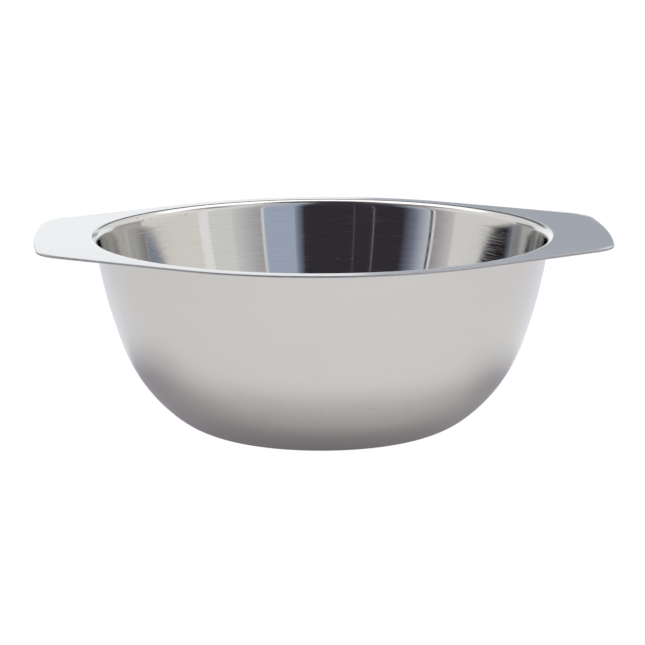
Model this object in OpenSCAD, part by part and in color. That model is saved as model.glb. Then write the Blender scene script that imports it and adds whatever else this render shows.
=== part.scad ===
// Two-handled shaving bowl, drawn and trimmed in one piece from stainless steel sheet.
// The origin is the centre of the base's underside. +X runs through the tabs and +Z is up.

/* [Size] */
// Length over the ends of the two tabs
overall_length = 148; // [146:0.2:170]
// Diameter of the round rim between the tabs
rim_diameter = 127.5; // [126:0.5:132]
// Height from the base's underside to the rim's top face
height = 51; // [50:0.5:58]
// Thickness of the steel sheet
sheet = 0.5; // [0.4:0.1:1]

/* [Lip] */
// Outside diameter of the wall where it leaves the lip
wall_diameter = 116.6; // [115:0.2:117.6]
// Radius of the rim's top face as it turns down into the wall
lip_radius = 2.2; // [1.8:0.1:3]
// Lean of the wall from upright where it leaves the lip, in degrees
wall_lean = 8; // [6:0.5:10]

/* [Wall] */
// Radius of the upper wall's outside
upper_radius = 122; // [112:1:128]
// Lean at which the upper wall meets the belly, in degrees
upper_end = 21; // [19:1:23]
// Lean at which the belly meets the lower wall, in degrees
belly_end = 52; // [50:1:56]
// Radius of the lower wall's outside
lower_radius = 24; // [20:1:26]
// Lean at which the lower wall meets the base corner, in degrees
lower_end = 76; // [72:1:80]
// Outside radius of the corner round the flat base
corner_radius = 12; // [8:1:16]

/* [Tabs] */
// Distance between the centres of a tab's two corner rounds
corner_spacing = 42; // [38:0.5:46]
// Radius of a tab's corners
tab_corner_radius = 12.5; // [10:0.5:14]
// Radius of the shallow curve along a tab's end
tab_end_radius = 210; // [160:2:260]

/* [Hidden] */
$fn = 180;

// Largest step between points along an arc, in degrees
arc_step = 4;

// Rim and lip
rim_radius = rim_diameter / 2;
wall_radius = wall_diameter / 2;
lip_outside_radius = lip_radius - sheet;
lip_centre = [wall_radius + lip_outside_radius * cos(wall_lean), height - lip_radius];
wall_top = lip_centre - lip_outside_radius * outward(wall_lean);

// The belly's radius is what brings the wall's four arcs down to the base exactly
upper_drop = upper_radius * (sin(upper_end) - sin(wall_lean));
lower_drop = lower_radius * (sin(lower_end) - sin(belly_end));
corner_drop = corner_radius * (1 - sin(lower_end));
belly_drop = wall_top.y - upper_drop - lower_drop - corner_drop;
belly_radius = belly_drop / (sin(belly_end) - sin(upper_end));

// Each arc is tangent to the one above it, so its centre lies on the line across their joint
upper_centre = wall_top - upper_radius * outward(wall_lean);
belly_centre = upper_centre + (upper_radius - belly_radius) * outward(upper_end);
lower_centre = belly_centre + (belly_radius - lower_radius) * outward(belly_end);
corner_centre = lower_centre + (lower_radius - corner_radius) * outward(lower_end);

// A tab's corners lie inside the curve of its end, and its sides leave the rim on a tangent
tab_end_centre = [overall_length / 2 - tab_end_radius, 0];
corner_reach = tab_end_radius - tab_corner_radius;
corner_turn = asin(corner_spacing / 2 / corner_reach);
tab_corner = on_circle(tab_end_centre, corner_reach, corner_turn);
side_turn = atan2(tab_corner.y, tab_corner.x) + acos((rim_radius - tab_corner_radius) / norm(tab_corner));

// Direction across the wall, out of the bowl, where the wall leans by this angle
function outward(lean) = [cos(lean), -sin(lean)];

// Point on a circle, at an angle counted anticlockwise from +X
function on_circle(centre, radius, angle) = centre + radius * [cos(angle), sin(angle)];

// Evenly spaced points along an arc, its two ends included
function arc(centre, radius, from, to) =
    let (steps = ceil(abs(to - from) / arc_step))
    [for (i = [0 : steps]) on_circle(centre, radius, from + (to - from) * i / steps)];

// The same points in the opposite order
function backwards(points) = [for (i = [len(points) - 1 : -1 : 0]) points[i]];

// The points reflected in the Y axis
function reflected(points) = [for (p = points) [-p.x, p.y]];

// One face of the sheet, from the base's edge up to the rim's inner edge. inset is how far that
// face lies inside the bowl's outside.
function sheet_face(inset) = concat(
    arc(corner_centre, corner_radius - inset, -90, -lower_end),
    arc(lower_centre, lower_radius - inset, -lower_end, -belly_end),
    arc(belly_centre, belly_radius - inset, -belly_end, -upper_end),
    arc(upper_centre, upper_radius - inset, -upper_end, -wall_lean),
    arc(lip_centre, lip_outside_radius + inset, 180 - wall_lean, 90)
);

// Half of the trimmed edge, on the +X side, anticlockwise
right_outline = concat(
    arc([0, 0], rim_radius, -90, -side_turn),
    arc([tab_corner.x, -tab_corner.y], tab_corner_radius, -side_turn, -corner_turn),
    arc(tab_end_centre, tab_end_radius, -corner_turn, corner_turn),
    arc(tab_corner, tab_corner_radius, corner_turn, side_turn),
    arc([0, 0], rim_radius, side_turn, 90)
);

// Base, wall and lip
module drawn_shell() {
    rotate_extrude()
        polygon(concat([[0, 0]], sheet_face(0), backwards(sheet_face(sheet)), [[0, sheet]]));
}

// Flat rim and the two tabs, trimmed to one outline
module rim() {
    translate([0, 0, height - sheet])
        linear_extrude(sheet)
            difference() {
                polygon(concat(right_outline, backwards(reflected(right_outline))));
                circle(r = lip_centre.x);
            }
}

module bowl() {
    color("silver") {
        drawn_shell();
        rim();
    }
}

bowl();
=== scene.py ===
import math

import bmesh
import bpy
from mathutils import Matrix, Vector


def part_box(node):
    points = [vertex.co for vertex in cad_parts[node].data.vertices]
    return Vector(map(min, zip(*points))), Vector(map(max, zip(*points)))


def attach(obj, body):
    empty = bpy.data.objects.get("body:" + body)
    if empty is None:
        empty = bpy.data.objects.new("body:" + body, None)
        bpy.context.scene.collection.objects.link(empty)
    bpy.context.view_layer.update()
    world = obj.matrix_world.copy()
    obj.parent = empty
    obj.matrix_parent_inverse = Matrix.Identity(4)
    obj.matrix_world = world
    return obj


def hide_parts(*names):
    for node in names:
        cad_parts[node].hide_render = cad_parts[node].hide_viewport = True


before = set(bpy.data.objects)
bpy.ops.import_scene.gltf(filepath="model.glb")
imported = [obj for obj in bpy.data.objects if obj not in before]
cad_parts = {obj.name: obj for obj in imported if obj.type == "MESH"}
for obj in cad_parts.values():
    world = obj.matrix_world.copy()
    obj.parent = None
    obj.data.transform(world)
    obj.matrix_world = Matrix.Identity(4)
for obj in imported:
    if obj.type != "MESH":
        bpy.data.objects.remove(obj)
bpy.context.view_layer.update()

# Two-handled shaving bowl, one pressing in stainless steel. Everything is in metres, with the
# base's centre at the origin, +X through the tabs and +Z up.

# Lengths in millimetres, leans in degrees from upright
bowlShape = {
    "sheet": 0.5,
    "wallDiameter": 116.6,
    "wallLean": 8,
    "lipRadius": 2.2,
    "upperRadius": 122,
    "upperEnd": 21,
    "bellyEnd": 52,
    "lowerRadius": 24,
    "lowerEnd": 76,
    "cornerRadius": 12,
    "tabCornerSpacing": 42,
    "tabCornerRadius": 12.5,
    "tabEndRadius": 210,
    "edgeRound": 0.14,  # deburred corner of the cut edge
    "edgeSteps": 3,
    "stepsRound": 480,
    "baseRings": (0.35, 0.65, 0.85, 0.97, 1),  # shares of the flat base's radius
    "rimRings": (0.1, 0.5, 0.88, 1),  # shares of the way from the lip to the trimmed edge
    "lipPolish": 0.7,  # share of the lip's drop that is polished along with the rim
}

# The bowl is 18/8 stainless steel sheet, and only its polish differs from face to face. Roughness
# is from 0, a mirror, to 1, and scored is the roughness along the deeper brushing lines. Stretch
# is how far a highlight spreads across the brushing. Grain is the height of the lines in
# thousandths of a millimetre; spacing and run are how close they lie and how far one goes round
# the bowl, in millimetres. Real lines lie about 0.05 mm apart, which is too fine to show, so they
# are drawn about five times as coarse. Tone is how much they darken the steel. Waviness and
# waveSize are the height, in thousandths, and the width of the slow dents left by the press.
finishes = {
    # finely brushed on a turning spindle: stays a mirror along the lines and blurs across them
    "brushedInside": {
        "colour": "#CFCECC", "roughness": 0.05, "scored": 0.15, "stretch": 0.6,
        "grain": 1.6, "spacing": 0.24, "run": 6, "tone": 0.1, "waviness": 1, "waveSize": 9,
    },
    # satin polished: soft, faintly uneven reflections with no clear edges
    "satinOutside": {
        "colour": "#CDCCBF", "roughness": 0.21, "stretch": 0.3,
        "grain": 0.8, "spacing": 0.25, "run": 8, "tone": 0.04, "waviness": 13, "waveSize": 6,
    },
    # rolled flat sheet and lip, lightly polished: an even tone, after what stands behind it
    "satinRim": {
        "colour": "#CFCECC", "roughness": 0.16, "stretch": 0.3,
        "grain": 0.5, "spacing": 0.3, "run": 12, "tone": 0.02, "waviness": 2, "waveSize": 6,
    },
    # sheared by the trimming tool and deburred: a dull line, and its darker colour is painted
    # shade, standing in for the dark that the upright edge reflects
    "cutEdge": {
        "colour": "#A9A6A6", "roughness": 0.38, "stretch": 0,
        "grain": 4, "spacing": 0.3, "run": 0.8, "tone": 0.15, "waviness": 3, "waveSize": 3,
    },
}

# Small flaws: azimuth round the bowl, distance from its middle and height, then half length, half
# height and slant, in millimetres and degrees, and the share of the brightness each takes away.
# A share below 0 brightens; the bright ticks inside are painted glints.
flaws = {
    "brushedInside": [
        ("speck", -143, 58, 49.2, 0.2, 0.25, 0, 0.7),
        ("painted glint", 173, 55, 35.2, 0.9, 0.15, -8, -0.8),
        ("painted glint", 169, 55, 35.3, 0.7, 0.15, 10, -0.8),
    ],
    "satinRim": [
        ("speck", -125, 58.5, 50.3, 0.25, 0.25, 0, 0.75),
        ("speck", -127, 58, 49.6, 0.25, 0.25, 0, 0.7),
        ("speck", -130, 58, 49.6, 0.25, 0.25, 0, 0.75),
    ],
    "satinOutside": [
        ("pit", -3, 47, 14, 0.22, 0.3, 0, 0.45),
        ("scratch", 12, 47.5, 14.8, 1.8, 0.12, 8, 0.2),
        ("scratch", 36.5, 39, 5.1, 2.6, 0.12, -6, 0.22),
        ("scratch", 33, 39.5, 5.6, 0.3, 1, 30, 0.15),
        ("pale speck", -32, 46.5, 13.2, 0.3, 0.25, 0, -0.18),
    ],
}
flawDepth = 0.8  # half depth in millimetres, enough to reach the steel
brushedRadius = 55  # millimetres from the middle, where the lines' run is true
sectionScale = 10  # U of the section map per metre

# A Mix node's colour inputs and output, by number because they share their names with others
colourA = 6
colourB = 7
mixedColour = 2


def mm(key):
    return bowlShape[key] / 1000


def outward(lean):
    # across the wall, out of the bowl, in the X Z plane
    return Vector((math.cos(math.radians(lean)), 0, -math.sin(math.radians(lean))))


def linear(code):
    # sRGB hex to the linear colour that the renderer works in
    parts = [int(code[i:i + 2], 16) / 255 for i in (1, 3, 5)]
    parts = [p / 12.92 if p <= 0.04045 else ((p + 0.055) / 1.055) ** 2.4 for p in parts]
    return (*parts, 1)


def rayToCircle(angle, away, towards, radius):
    # distance from the middle to a circle's far side
    along = away * math.cos(angle - towards)
    across = away * math.sin(angle - towards)
    return along + math.sqrt(radius * radius - across * across)


def tabOutline(length, width):
    # returns how far the trimmed edge lies from the middle at an angle round the bowl
    rimRadius = width / 2
    endRadius = mm("tabEndRadius")
    cornerRadius = mm("tabCornerRadius")
    endCentre = length / 2 - endRadius
    reach = endRadius - cornerRadius
    cornerTurn = math.asin(mm("tabCornerSpacing") / 2 / reach)
    corner = Vector((endCentre + reach * math.cos(cornerTurn), reach * math.sin(cornerTurn)))
    cornerAngle = math.atan2(corner.y, corner.x)
    sideTurn = cornerAngle + math.acos((rimRadius - cornerRadius) / corner.length)

    def angleOnCorner(turn):
        across = corner.y + cornerRadius * math.sin(turn)
        return math.atan2(across, corner.x + cornerRadius * math.cos(turn))

    sideStart = angleOnCorner(sideTurn)
    cornerStart = angleOnCorner(cornerTurn)

    def reachAt(angle):
        a = math.acos(abs(math.cos(angle)))
        if a > sideTurn:
            return rimRadius  # round rim
        if a > sideStart:
            return rimRadius / math.cos(sideTurn - a)  # straight side, tangent to the rim
        if a > cornerStart:
            return rayToCircle(a, corner.length, cornerAngle, cornerRadius)
        return rayToCircle(a, endCentre, 0, endRadius)

    return reachAt


def makeBowl():
    low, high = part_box("bowl")
    sheet = mm("sheet")
    lipOutside = mm("lipRadius") - sheet
    lean = bowlShape["wallLean"]
    lipCentre = Vector((mm("wallDiameter") / 2, 0, high[2] - mm("lipRadius")))
    lipCentre.x += lipOutside * outward(lean).x
    wallTop = lipCentre - lipOutside * outward(lean)

    # the belly's radius closes the height, and each arc's centre lies on the line across its joint
    def sine(key):
        return math.sin(math.radians(bowlShape[key]))

    drop = wallTop.z - mm("upperRadius") * (sine("upperEnd") - sine("wallLean"))
    drop -= mm("lowerRadius") * (sine("lowerEnd") - sine("bellyEnd"))
    drop -= mm("cornerRadius") * (1 - sine("lowerEnd"))
    bellyRadius = drop / (sine("bellyEnd") - sine("upperEnd"))
    upperCentre = wallTop - mm("upperRadius") * outward(lean)
    bellyCentre = upperCentre + (mm("upperRadius") - bellyRadius) * outward(bowlShape["upperEnd"])
    lowerCentre = bellyCentre + (bellyRadius - mm("lowerRadius")) * outward(bowlShape["bellyEnd"])
    tighter = mm("lowerRadius") - mm("cornerRadius")
    cornerCentre = lowerCentre + tighter * outward(bowlShape["lowerEnd"])

    # the outside face in section: one vertex drawn along the base, then spun round each arc
    tiny = 1e-6
    bm = bmesh.new()
    tip = bm.verts.new((0, 0, 0))
    for share in bowlShape["baseRings"]:
        grown = bmesh.ops.extrude_vert_indiv(bm, verts=[tip])
        tip = grown["verts"][0]
        tip.co.x = cornerCentre.x * share
    arcs = [  # centre, lean at its start and its end, steps
        (cornerCentre, 90, bowlShape["lowerEnd"], 5),
        (lowerCentre, bowlShape["lowerEnd"], bowlShape["bellyEnd"], 8),
        (bellyCentre, bowlShape["bellyEnd"], bowlShape["upperEnd"], 15),
        (upperCentre, bowlShape["upperEnd"], lean, 14),
        (lipCentre, lean, 90, 16),
    ]
    for centre, startLean, endLean, steps in arcs:
        axis = (0, 1, 0) if centre is lipCentre else (0, -1, 0)  # the lip bends the other way
        spun = bmesh.ops.spin(bm, geom=[tip], cent=centre, axis=axis, dvec=(0, 0, 0),
                              angle=math.radians(abs(endLean - startLean)), steps=steps,
                              use_merge=False, use_normal_flip=False, use_duplicate=False)
        tip = [v for v in spun["geom_last"] if isinstance(v, bmesh.types.BMVert)][0]

    bmesh.ops.spin(bm, geom=bm.verts[:] + bm.edges[:], cent=(0, 0, 0), axis=(0, 0, 1),
                   dvec=(0, 0, 0), angle=math.tau, steps=bowlShape["stepsRound"], use_merge=True,
                   use_normal_flip=False, use_duplicate=False)
    bmesh.ops.remove_doubles(bm, verts=bm.verts[:], dist=tiny)  # closes the pole

    # the flat rim and tabs grow out from the lip to the trimmed outline
    reachAt = tabOutline(high[0] - low[0], high[1] - low[1])
    for share in bowlShape["rimRings"]:
        border = [e for e in bm.edges if e.is_boundary]
        grown = bmesh.ops.extrude_edge_only(bm, edges=border)["geom"]
        for vertex in [v for v in grown if isinstance(v, bmesh.types.BMVert)]:
            angle = math.atan2(vertex.co.y, vertex.co.x)
            radius = lipCentre.x + share * (reachAt(angle) - lipCentre.x)
            vertex.co.x = radius * math.cos(angle)
            vertex.co.y = radius * math.sin(angle)

    bmesh.ops.recalc_face_normals(bm, faces=bm.faces[:])
    lowest = min(bm.faces, key=lambda f: f.calc_center_median().z)
    if lowest.normal.z > 0:
        bmesh.ops.reverse_faces(bm, faces=bm.faces[:])
    outsideFaces = set(bm.faces)
    bmesh.ops.solidify(bm, geom=bm.faces[:], thickness=sheet)

    # Each face gets its finish, numbered in the order that finishes lists them. Level is 1 on a
    # flat face and 0 on an upright one.
    inside, outside, rim, cutEdge = range(len(finishes))
    rimLowest = high[2] - 2 * sheet
    lipLowest = high[2] - bowlShape["lipPolish"] * mm("lipRadius")
    for face in bm.faces:
        middle = face.calc_center_median()
        level = abs(face.normal.z)
        if middle.xy.length > lipCentre.x and level < 0.5:
            face.material_index = cutEdge
        elif level > 0.999 and middle.z > rimLowest:
            face.material_index = rim
        elif face in outsideFaces:
            face.material_index = outside
        else:
            face.material_index = rim if middle.z > lipLowest else inside

    # the cut edge's two corners are deburred
    corners = []
    for edge in bm.edges:
        ends = [f.material_index == cutEdge for f in edge.link_faces]
        if ends.count(True) == 1:
            corners.append(edge)
    bmesh.ops.bevel(bm, geom=corners, offset=mm("edgeRound"), offset_type="OFFSET",
                    affect="EDGES", segments=bowlShape["edgeSteps"], profile=0.5, material=-1,
                    clamp_overlap=True)

    # U runs up the section and V round the bowl, so brushing round the bowl lies across U
    layer = bm.loops.layers.uv.new("section")
    for face in bm.faces:
        middle = face.calc_center_median()
        around = math.atan2(middle.y, middle.x)
        for loop in face.loops:
            co = loop.vert.co
            angle = math.atan2(co.y, co.x) if co.xy.length > tiny else around
            angle += math.tau * round((around - angle) / math.tau)  # same side of the seam
            loop[layer].uv = (sectionScale * (co.xy.length + co.z), angle / math.tau + 0.5)

    mesh = bpy.data.meshes.new("bowl_pressing")
    bm.to_mesh(mesh)
    bm.free()
    for polygon in mesh.polygons:
        polygon.use_smooth = True
    bowl = bpy.data.objects.new("bowl_pressing", mesh)
    bpy.context.scene.collection.objects.link(bowl)
    return bowl


def addNode(tree, kind, settings=None, links=None):
    # settings go to the node's properties or inputs, and links join inputs to other nodes' outputs
    node = tree.nodes.new(kind)
    for key, value in (settings or {}).items():
        if isinstance(key, str) and hasattr(node, key):
            setattr(node, key, value)
        else:
            node.inputs[key].default_value = value
    for key, source in (links or {}).items():
        tree.links.new(source, node.inputs[key])
    return node


def makeSteel(name):
    finish = finishes[name]
    material = bpy.data.materials.new(name)
    material.use_nodes = True
    tree = material.node_tree
    shader = tree.nodes["Principled BSDF"]
    shader.inputs["Metallic"].default_value = 1
    shader.inputs["Roughness"].default_value = finish["roughness"]
    shader.inputs["Anisotropic"].default_value = finish["stretch"]
    tangent = addNode(tree, "ShaderNodeTangent", {"direction_type": "UV_MAP", "uv_map": "section"})
    tree.links.new(tangent.outputs["Tangent"], shader.inputs["Tangent"])

    # brushing: noise that is close-set up the section and drawn out round the bowl
    place = addNode(tree, "ShaderNodeTexCoord")
    section = addNode(tree, "ShaderNodeUVMap", {"uv_map": "section"})
    upSection = addNode(tree, "ShaderNodeSeparateXYZ", links={"Vector": section.outputs["UV"]})
    levelOnly = addNode(tree, "ShaderNodeVectorMath", {"operation": "MULTIPLY", 1: (1, 1, 0)},
                        {0: place.outputs["Object"]})
    aroundBowl = addNode(tree, "ShaderNodeVectorMath", {"operation": "NORMALIZE"},
                         {0: levelOnly.outputs["Vector"]})
    runs = addNode(tree, "ShaderNodeVectorMath",
                   {"operation": "SCALE", "Scale": brushedRadius / finish["run"]},
                   {0: aroundBowl.outputs["Vector"]})
    lines = addNode(tree, "ShaderNodeMath",
                    {"operation": "MULTIPLY", 1: 1000 / sectionScale / finish["spacing"]},
                    {0: upSection.outputs["X"]})
    up = addNode(tree, "ShaderNodeCombineXYZ", links={"Z": lines.outputs["Value"]})
    where = addNode(tree, "ShaderNodeVectorMath", {"operation": "ADD"},
                    {0: runs.outputs["Vector"], 1: up.outputs["Vector"]})
    brushing = addNode(tree, "ShaderNodeTexNoise", {"Scale": 1, "Detail": 2},
                       {"Vector": where.outputs["Vector"]})
    if "scored" in finish:
        # The deeper lines, where the noise is high, scatter the light, and the polished steel
        # between them mirrors it. The noise seldom leaves 0.25 to 0.75.
        rough = addNode(tree, "ShaderNodeMapRange",
                        {"From Min": 0.45, "From Max": 0.75,
                         "To Min": finish["roughness"], "To Max": finish["scored"]},
                        {"Value": brushing.outputs["Fac"]})
        tree.links.new(rough.outputs["Result"], shader.inputs["Roughness"])

    # slow unevenness left by drawing and polishing
    waves = addNode(tree, "ShaderNodeTexNoise", {"Scale": 1000 / finish["waveSize"], "Detail": 1},
                    {"Vector": place.outputs["Object"]})
    ripple = addNode(tree, "ShaderNodeBump",
                     {"Distance": finish["waviness"] * 1e-6, "Strength": 1},
                     {"Height": waves.outputs["Fac"]})
    grain = addNode(tree, "ShaderNodeBump",
                    {"Distance": finish["grain"] * 1e-6, "Strength": 1},
                    {"Height": brushing.outputs["Fac"], "Normal": ripple.outputs["Normal"]})
    tree.links.new(grain.outputs["Normal"], shader.inputs["Normal"])

    # the lines darken the steel: by twice the tone where they are deepest, by the tone on average
    full = linear(finish["colour"])
    worn = [c * (1 - 2 * finish["tone"]) for c in full[:3]] + [1]
    tone = addNode(tree, "ShaderNodeMix", {"data_type": "RGBA", colourA: worn, colourB: full},
                   {"Factor": brushing.outputs["Fac"]})
    colour = tone.outputs[mixedColour]

    # each flaw is a soft spot that takes its share off the colour's brightness; a share below 0
    # adds brightness instead, which for the bright ticks is a painted glint
    for kind, azimuth, reach, height, halfLength, halfHeight, slant, share in flaws.get(name, []):
        turn = math.radians(azimuth)
        centre = Vector((reach * math.sin(turn), -reach * math.cos(turn), height))
        spot = addNode(tree, "ShaderNodeMapping",
                       {"vector_type": "TEXTURE", "label": kind, "Location": centre / 1000,
                        "Rotation": (0, math.radians(slant), turn),
                        "Scale": Vector((halfLength, flawDepth, halfHeight)) / 1000},
                       {"Vector": place.outputs["Object"]})
        away = addNode(tree, "ShaderNodeVectorMath", {"operation": "LENGTH"},
                       {0: spot.outputs["Vector"]})
        # untouched from the spot's edge out, and full within the middle four tenths
        kept = addNode(tree, "ShaderNodeMapRange",
                       {"From Min": 1, "From Max": 0.4, "To Min": 1, "To Max": 1 - share},
                       {"Value": away.outputs["Value"]})
        flawAndGlint = addNode(tree, "ShaderNodeVectorMath", {"operation": "SCALE"},
                         {0: colour, "Scale": kept.outputs["Result"]})
        colour = flawAndGlint.outputs["Vector"]
    tree.links.new(colour, shader.inputs["Base Color"])
    return material


bowl = makeBowl()
for name in finishes:
    bowl.data.materials.append(makeSteel(name))
    print("finish:", name)
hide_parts("bowl")
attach(bowl, "root")
print("bowl:", len(bowl.data.polygons), "faces")

# Angles in degrees. Turn goes round towards the left tab.
cameraSetup = {
    "distance": 0.873,  # metres from the rim's middle
    "elevation": 9.185,
    "turn": 2.585,
    "aimBelow": 1.502,  # how far the lens points below the rim's middle
    "roll": -0.238,
    "lens": 188.9,  # millimetres
}


def makeCamera():
    data = bpy.data.cameras.new("camera")
    data.lens = cameraSetup["lens"]
    camera = bpy.data.objects.new("camera", data)
    bpy.context.scene.collection.objects.link(camera)
    elevation = math.radians(cameraSetup["elevation"])
    turn = math.radians(cameraSetup["turn"])
    level = math.cos(elevation)
    back = Vector((-math.sin(turn) * level, -math.cos(turn) * level, math.sin(elevation)))
    rimMiddle = Vector((0, 0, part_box("bowl")[1][2]))
    camera.location = rimMiddle + cameraSetup["distance"] * back
    down = math.radians(cameraSetup["elevation"] + cameraSetup["aimBelow"])
    aim = Matrix.Rotation(-turn, 4, "Z") @ Matrix.Rotation(math.pi / 2 - down, 4, "X")
    aim = aim @ Matrix.Rotation(math.radians(cameraSetup["roll"]), 4, "Z")
    camera.rotation_euler = aim.to_euler()
    bpy.context.scene.camera = camera


makeCamera()
print("camera:", cameraSetup["distance"], "m away")

# Directions are degrees: azimuth 0 is in front, 90 is at the right tab, 180 is behind; height is
# above the horizon. The surround is seen only in the steel.
panels = [
    # what it is, azimuth from and to, height from and to, colour at each side, brightness
    ("dark room in front", -47, 7, -6, 84, "#3F3B43", "#3F3B43", 1),
    ("light stand", -31, -30.5, -6, 60, "#A09CA6", "#A09CA6", 1),
    ("thin light stand", -20.2, -19.8, -6, 40, "#77737D", "#77737D", 1),
    ("blue screen in shade", 7, 12, -6, 62, "#3F3B43", "#A3AFC9", 1),
    ("blue screen", 12, 29, -6, 62, "#C2CFE6", "#C2CFE6", 1),
    ("screen edge", 29, 30.5, -6, 62, "#EDEFF2", "#EDEFF2", 1.2),
    ("wall in shade", 30.5, 47, -6, 62, "#C3C1C4", "#F4F5F6", 1),
    ("right wall", 47, 61, -6, 62, "#F5F6F4", "#F5F6F4", 1.08),
    ("right wall seam", 61, 67, -6, 62, "#FAFBFB", "#FAFBFB", 1.25),
    ("right wall far", 67, 108, -6, 50, "#FBF8F3", "#FBF8F3", 1.1),
    ("right shelf", 108, 138, -6, 19, "#C4C1BF", "#C4C1BF", 1),
    ("above right shelf", 108, 142, 19, 50, "#FBF8F3", "#FBF8F3", 1.15),
    ("white backdrop", 138, 222, -6, 17, "#F6F9FC", "#F6F9FC", 1.24),
    ("grey backdrop", 164, 176.5, 6, 13, "#9CA4B1", "#9CA4B1", 1),
    ("bright backdrop top", 138, 222, 17, 52, "#F0F2F4", "#F0F2F4", 1.1),
    ("backdrop gap", 168, 192, 17, 42, "#5A5C60", "#5A5C60", 1),
    ("left shelf", -148, -126, -6, 16, "#A8A6AB", "#A8A6AB", 1),
    ("above left shelf", -142, -126, 16, 50, "#FBFAF8", "#FBFAF8", 1.08),
    ("left wall far", -126, -78, -6, 50, "#FBFAF8", "#FBFAF8", 1.08),
    ("left wall", -78, -66, -6, 50, "#EEEDEF", "#B6B3B8", 1),
    ("lamp edge", -66, -64.5, -6, 50, "#F5F5F5", "#F5F5F5", 1.2),
    ("lamp gap", -64.5, -63, -6, 50, "#605E66", "#605E66", 1),
    ("lamp", -63, -54, -6, 50, "#E8F0FA", "#8990A6", 1),
    ("lamp in shade", -54, -47, -6, 50, "#8990A6", "#3F3B43", 1),
    ("overhead softbox", 110, 245, 45, 75, "#FFFFFF", "#FFFFFF", 1.9),
    ("right ceiling", 7, 110, 62, 76, "#DADCE0", "#F2F2F2", 1),
    ("left ceiling", -115, -47, 50, 72, "#C4C4C6", "#3F3B43", 1),
    ("dark ceiling", -180, 180, 75, 90, "#3F3B43", "#3F3B43", 1),
]

# Lengths in metres
studio = {
    "surround": 3.0,  # from the bowl to the panels
    "panelStep": 0.01,  # how much nearer each panel stands than the one before it
    "panelCell": 4,  # degrees
    "highest": 89.9,  # degrees, just short of the point overhead
    "floorHalf": 10,
    "whiteHalf": 40,  # the floor as the open view shows it
    "whiteDrop": 0.0002,
    "whiteGlow": 1.02,
    "backdropRadius": 39,
    "key": (0.06, -0.38, 1.24),
    "keySize": 0.75,
    "keyPower": 12.6,  # watts
    "fill": 0.4,  # even light from all round
    "fillColour": "#F3E8FF",
    "floorGlow": 0.125,  # light that comes up through the floor sheet
    "floorColour": "#EEF2F6",
}


def direction(azimuth, height):
    a = math.radians(azimuth)
    h = math.radians(height)
    return Vector((math.sin(a) * math.cos(h), -math.cos(a) * math.cos(h), math.sin(h)))


def addStage(bm, name, material, hiddenFrom):
    mesh = bpy.data.meshes.new(name)
    bm.to_mesh(mesh)
    bm.free()
    piece = bpy.data.objects.new(name, mesh)
    bpy.context.scene.collection.objects.link(piece)
    piece.data.materials.append(material)
    for ray in hiddenFrom:
        setattr(piece, "visible_" + ray, False)
    return piece


def glow(name, colour, strength):
    material = bpy.data.materials.new(name)
    material.use_nodes = True
    tree = material.node_tree
    tree.nodes.remove(tree.nodes["Principled BSDF"])
    light = addNode(tree, "ShaderNodeEmission", {"Strength": strength})
    light.inputs["Color"].default_value = linear(colour)
    tree.links.new(light.outputs["Emission"], tree.nodes["Material Output"].inputs["Surface"])
    return material, light


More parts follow.
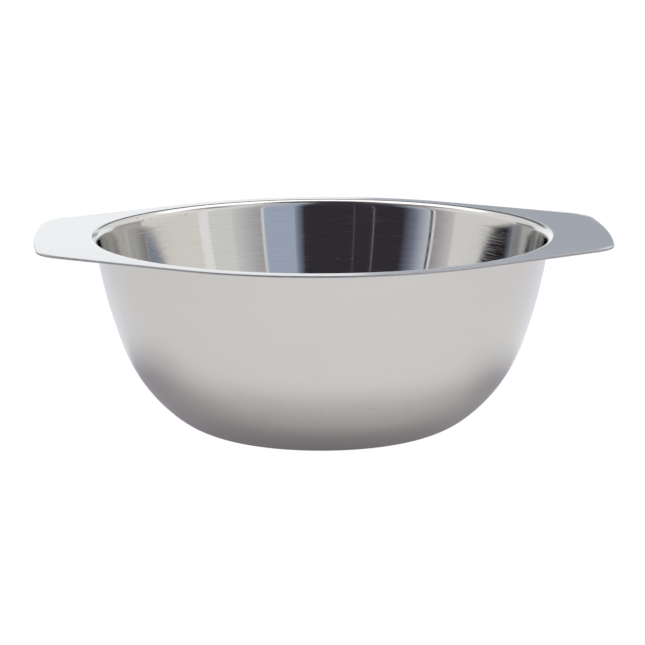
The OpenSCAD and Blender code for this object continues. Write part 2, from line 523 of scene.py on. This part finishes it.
def makeSurround():
    bm = bmesh.new()
    tint = bm.loops.layers.float_color.new("tint")
    cell = studio["panelCell"]
    distance = studio["surround"]
    for name, fromAzimuth, toAzimuth, low, top, start, end, brightness in panels:
        wide = max(1, round((toAzimuth - fromAzimuth) / cell))
        tall = max(1, round((top - low) / cell))
        grid = bmesh.ops.create_grid(bm, x_segments=wide, y_segments=tall, size=0.5)["verts"]
        share = {v: v.co.x + 0.5 for v in grid}  # of the way from the panel's first side
        for v in grid:
            azimuth = fromAzimuth + (toAzimuth - fromAzimuth) * share[v]
            height = low + (top - low) * (v.co.y + 0.5)
            v.co = distance * direction(azimuth, min(height, studio["highest"]))
        first = Vector(linear(start)[:3]) * brightness
        last = Vector(linear(end)[:3]) * brightness
        for face in {f for v in grid for f in v.link_faces}:
            for loop in face.loops:
                loop[tint] = (*first.lerp(last, share[loop.vert]), 1)
        distance -= studio["panelStep"]  # so that a later panel covers an earlier one
    material, light = glow("surround", "#FFFFFF", 1)
    tone = addNode(material.node_tree, "ShaderNodeAttribute", {"attribute_name": "tint"})
    material.node_tree.links.new(tone.outputs["Color"], light.inputs["Color"])
    addStage(bm, "surround", material, ("camera", "diffuse", "shadow"))


def makeFloor():
    # The steel mirrors a pale sheet that takes shadows. The open view shows that sheet burnt out
    # to plain white, which is a second sheet just below it.
    bm = bmesh.new()
    bmesh.ops.create_grid(bm, x_segments=1, y_segments=1, size=studio["floorHalf"])
    pale = bpy.data.materials.new("floor")
    pale.use_nodes = True
    shader = pale.node_tree.nodes["Principled BSDF"]
    shader.inputs["Base Color"].default_value = linear(studio["floorColour"])
    shader.inputs["Roughness"].default_value = 1
    shader.inputs["Specular IOR Level"].default_value = 0
    shader.inputs["Emission Color"].default_value = linear(studio["fillColour"])
    shader.inputs["Emission Strength"].default_value = studio["floorGlow"]
    addStage(bm, "floor", pale, ("camera",))

    bm = bmesh.new()
    bmesh.ops.create_grid(bm, x_segments=1, y_segments=1, size=studio["whiteHalf"])
    bmesh.ops.translate(bm, verts=bm.verts[:], vec=(0, 0, -studio["whiteDrop"]))
    white = glow("overexposed", "#FFFFFF", studio["whiteGlow"])[0]
    addStage(bm, "floor_overexposed", white, ("glossy", "diffuse", "shadow"))

    bm = bmesh.new()
    bmesh.ops.create_icosphere(bm, subdivisions=4, radius=studio["backdropRadius"])
    white = glow("backdrop", "#FFFFFF", 1)[0]
    addStage(bm, "backdrop", white, ("glossy", "diffuse", "shadow"))


def makeLights():
    data = bpy.data.lights.new("key", "AREA")
    data.size = studio["keySize"]
    data.energy = studio["keyPower"]
    key = bpy.data.objects.new("key", data)
    bpy.context.scene.collection.objects.link(key)
    key.location = studio["key"]
    key.rotation_euler = (-key.location).to_track_quat("-Z", "Y").to_euler()
    key.visible_camera = False
    key.visible_glossy = False
    world = bpy.data.worlds.new("studio")
    bpy.context.scene.world = world
    world.use_nodes = True
    background = world.node_tree.nodes["Background"]
    background.inputs["Color"].default_value = linear(studio["fillColour"])
    background.inputs["Strength"].default_value = studio["fill"]


makeFloor()
makeSurround()
makeLights()
bpy.context.scene.view_settings.view_transform = "Standard"
print("studio:", len(panels), "panels")
